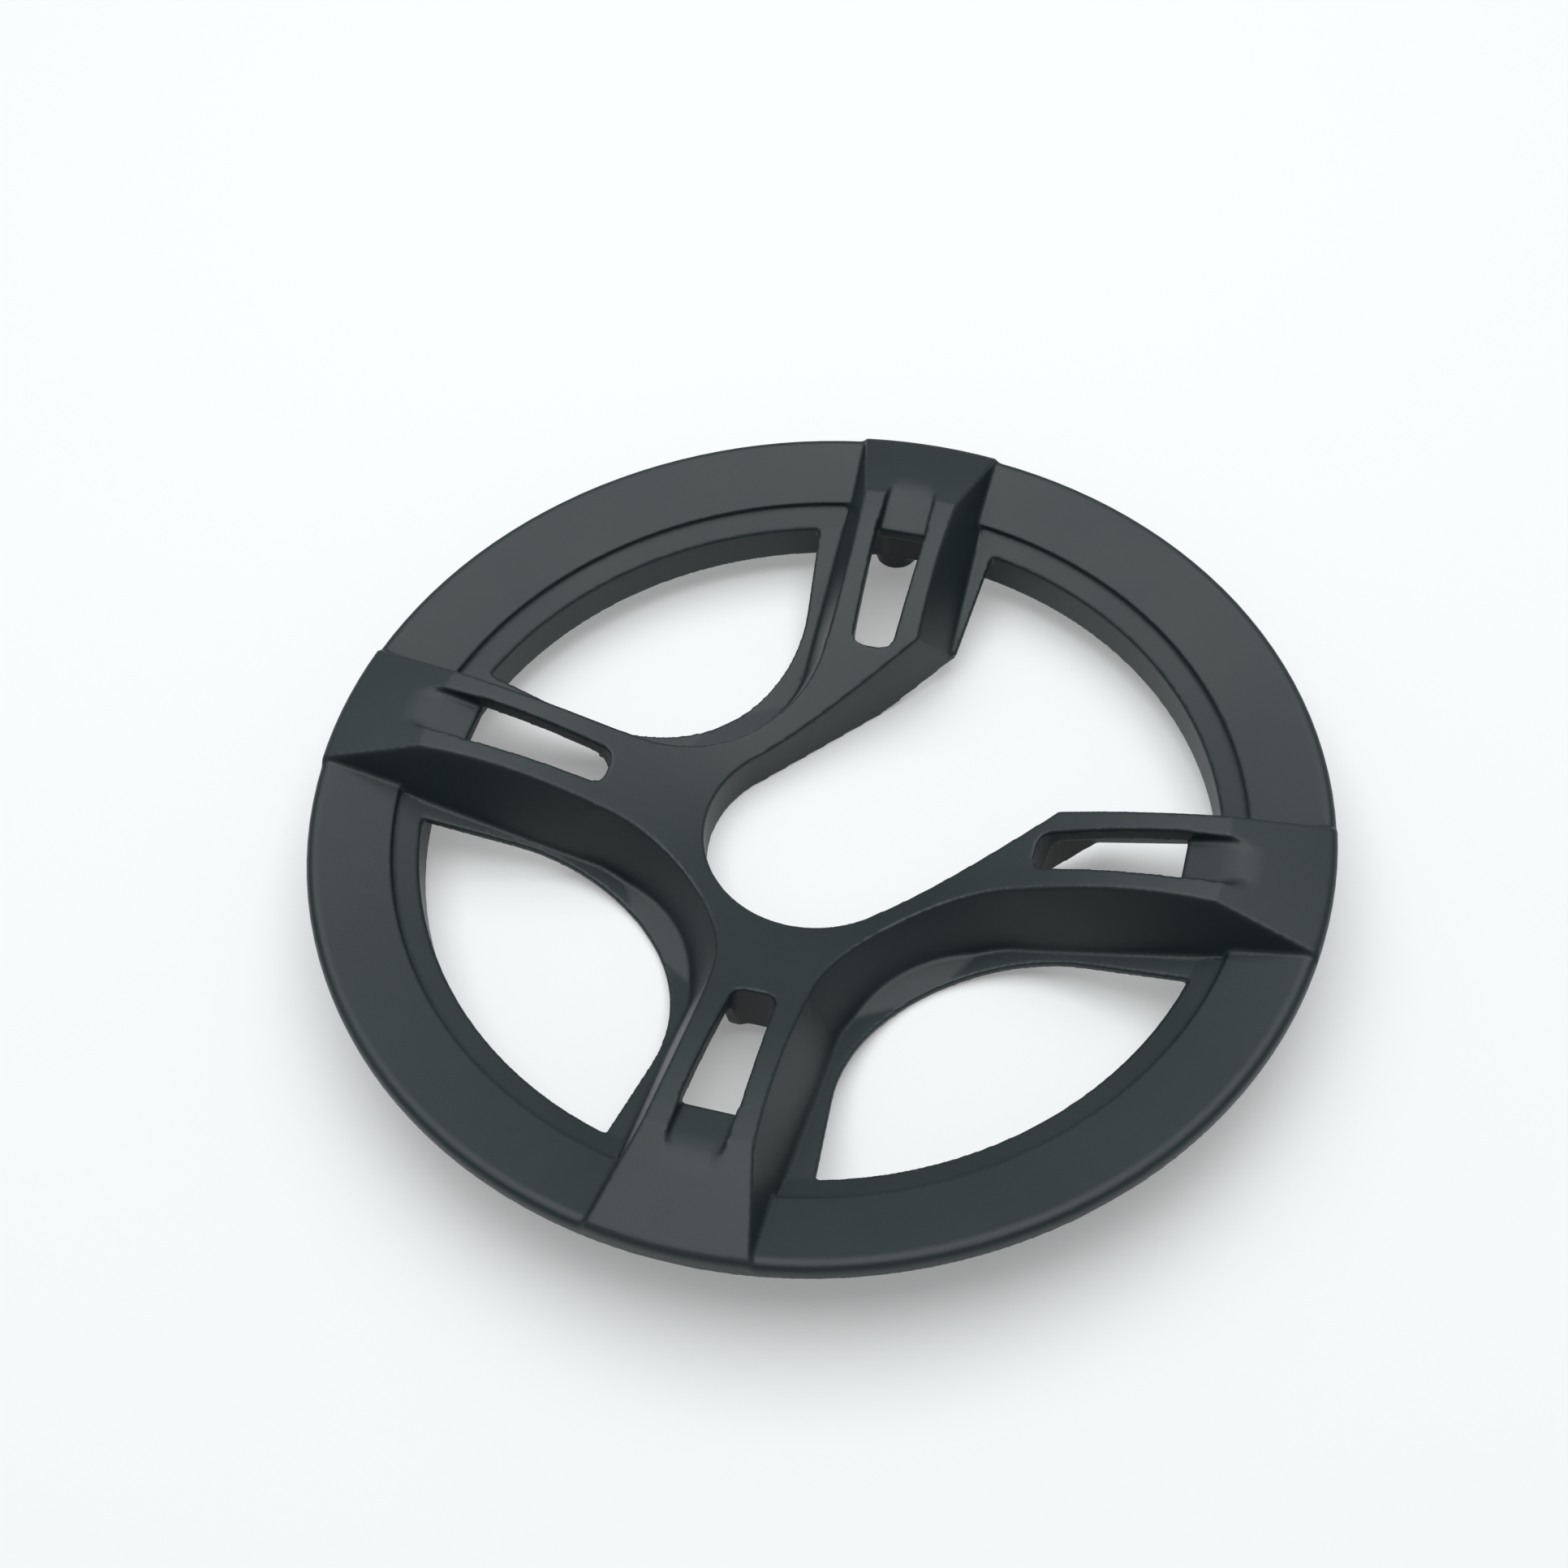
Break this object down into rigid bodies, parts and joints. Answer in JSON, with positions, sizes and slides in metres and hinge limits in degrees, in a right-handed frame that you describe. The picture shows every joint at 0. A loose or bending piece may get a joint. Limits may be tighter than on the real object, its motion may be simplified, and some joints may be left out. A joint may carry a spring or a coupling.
{
  "type": "bicycle chain guard",
  "caption": "Round plastic chain guard disc: a sloping rim, drafted spokes with slots, and a low hub with a U slot, made to screw on beside a chainring.",
  "frame": {"origin": "centre of the round rim, on the plane that the bottom of the hub and the U slot's walls rest on", "axes": "+Z is the show face's side and the axis of the chainring, +Y is the way the U slot opens, +X completes the right-handed frame"},
  "size_m": [0.174, 0.174, 0.0225],
  "materials": {
    "plastic": "matte, fine moulded grain"
  },
  "bodies": {
    "root": {"guard": "plastic"}
  },
  "joints": []
}
